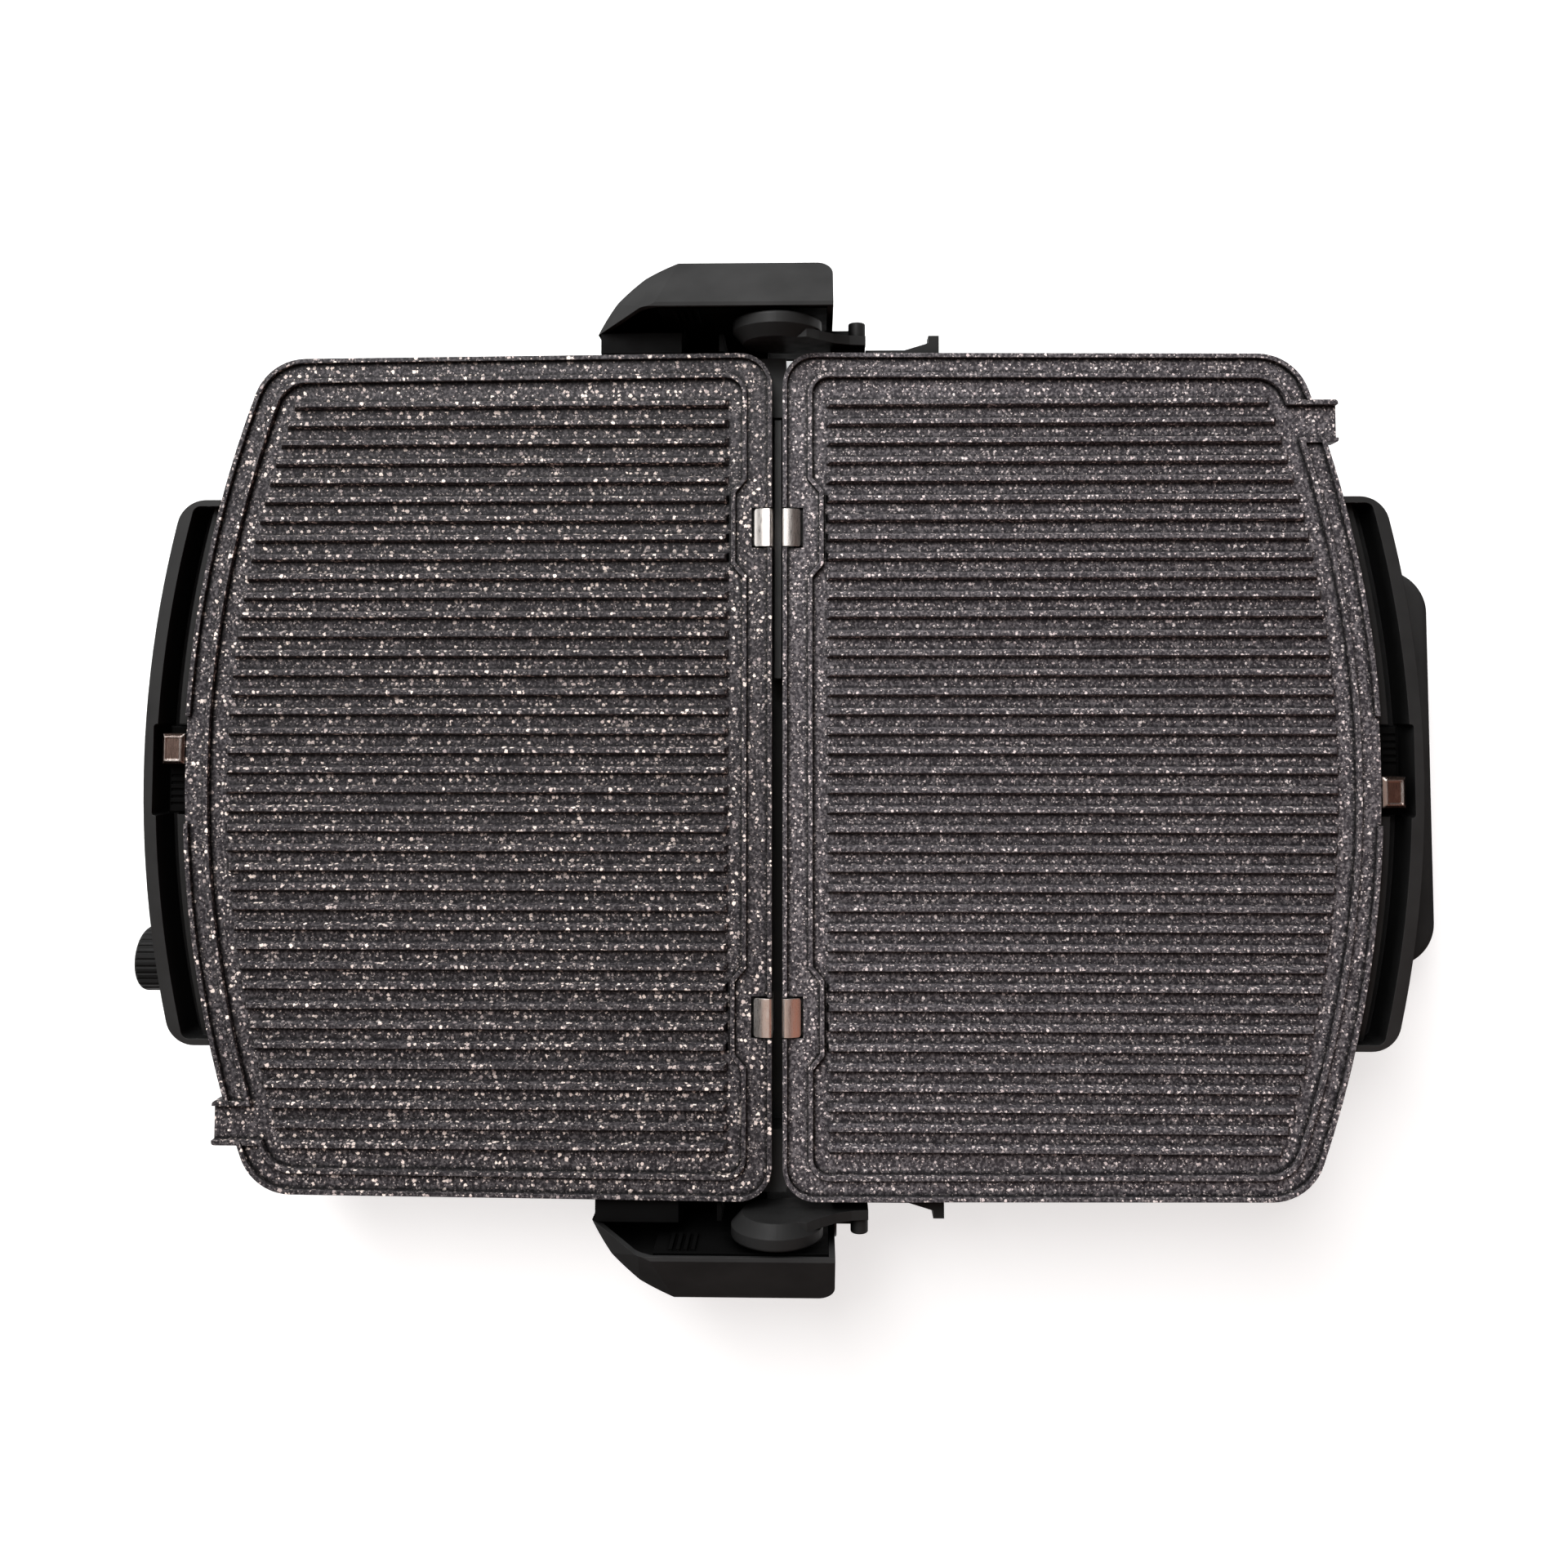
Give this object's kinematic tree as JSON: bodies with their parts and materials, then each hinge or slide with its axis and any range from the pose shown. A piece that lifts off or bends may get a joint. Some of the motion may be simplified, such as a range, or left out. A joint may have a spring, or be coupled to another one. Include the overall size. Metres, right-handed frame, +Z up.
{
  "type": "panini press",
  "caption": "Contact grill laid open flat, with ribbed tilt-out plates, side hinge towers, floating hinge, latches, dial and handle.",
  "frame": {"origin": "on the table, midway between dial tip and handle, under the hinge axis", "axes": "+Z up, -Y towards the base's front with the dial, +Y along the opened lid towards its handle, +X to the right of a person facing the front"},
  "size_m": [0.3816, 0.5066, 0.089],
  "materials": {
    "speckled_coating": "cast, with a dark speckled non-stick coating",
    "black_housing": "fine texture",
    "black_tower": "satin",
    "black_glass_fibre": "glass-filled moulding",
    "polished_steel": "polished",
    "bright_steel": "zinc plated",
    "spring_steel": "rolled strip",
    "heater_sheath": "dull sheath",
    "reflector_sheet": "aluminised sheet",
    "foot_rubber": "matte",
    "lamp_red": "clear tinted",
    "dial_mark": "inlay",
    "pale_moulding": "phenolic"
  },
  "bodies": {
    "base": {"base_bottom_cover": "black_housing", "base_cover_screws": "bright_steel", "base_feet": "foot_rubber", "base_front_panel": "black_housing", "base_heating_element": "heater_sheath", "base_latch_spring": "spring_steel", "base_rear_clips": "polished_steel", "base_reflector": "reflector_sheet", "base_shell": "black_housing", "cord_gland": "black_housing", "indicator_lenses": "lamp_red", "terminal_block": "pale_moulding", "thermostat_body": "pale_moulding", "thermostat_bracket": "bright_steel", "tower_ledge_left": "black_glass_fibre", "tower_ledge_right": "black_glass_fibre", "tower_liner_left": "black_glass_fibre", "tower_liner_right": "black_glass_fibre", "tower_shell_left": "black_tower", "tower_shell_right": "black_tower"},
    "base_latch": {"base_latch_button": "black_housing", "base_latch_catch": "polished_steel"},
    "base_plate": {"base_plate": "speckled_coating"},
    "thermostat_dial": {"dial_knob": "black_housing", "dial_pointer": "dial_mark", "thermostat_shaft": "bright_steel"},
    "lid": {"handle_brackets": "black_glass_fibre", "handle_grip": "black_housing", "hinge_arm_left": "black_glass_fibre", "hinge_arm_right": "black_glass_fibre", "lid_deck_screws": "bright_steel", "lid_front_panel": "black_housing", "lid_heating_element": "heater_sheath", "lid_latch_spring": "spring_steel", "lid_rear_clips": "polished_steel", "lid_reflector": "reflector_sheet", "lid_shell": "black_housing", "lid_thermal_cutout": "pale_moulding", "lid_top_cover": "black_housing", "side_hook_left": "black_glass_fibre", "side_hook_right": "black_glass_fibre"},
    "hinge_carriers": {"hinge_pins": "bright_steel", "hinge_slides": "bright_steel"},
    "lid_latch": {"lid_latch_button": "black_housing", "lid_latch_catch": "polished_steel"},
    "lid_plate": {"lid_plate": "speckled_coating"}
  },
  "joints": [
    {"name": "hinge_lift", "type": "slide", "parent": "base", "child": "hinge_carriers", "axis": [0, 0, 1], "range_m": [0, 0.007]},
    {"name": "lid_hinge", "type": "hinge", "parent": "hinge_carriers", "child": "lid", "pos_m": [0, 0, 0.072], "axis": [-1, 0, 0], "range_deg": [-180, 0]},
    {"name": "base_plate_tilt", "type": "hinge", "parent": "base", "child": "base_plate", "pos_m": [0, -0.0056, 0.0676], "axis": [-1, 0, 0], "range_deg": [0, 12]},
    {"name": "lid_plate_tilt", "type": "hinge", "parent": "lid", "child": "lid_plate", "pos_m": [0, 0.0056, 0.0676], "axis": [1, 0, 0], "range_deg": [0, 12]},
    {"name": "base_latch_slide", "type": "slide", "parent": "base", "child": "base_latch", "axis": [0, -1, 0], "range_m": [0, 0.003], "stiffness_N_per_m": 900, "springref_m": -0.002, "deforming": ["base_latch_spring"]},
    {"name": "lid_latch_slide", "type": "slide", "parent": "lid", "child": "lid_latch", "axis": [0, 1, 0], "range_m": [0, 0.003], "stiffness_N_per_m": 900, "springref_m": -0.002, "deforming": ["lid_latch_spring"]},
    {"name": "thermostat_turn", "type": "hinge", "parent": "base", "child": "thermostat_dial", "pos_m": [0.077, -0.2533, 0.028], "axis": [0, 1, 0], "range_deg": [0, 270]}
  ]
}
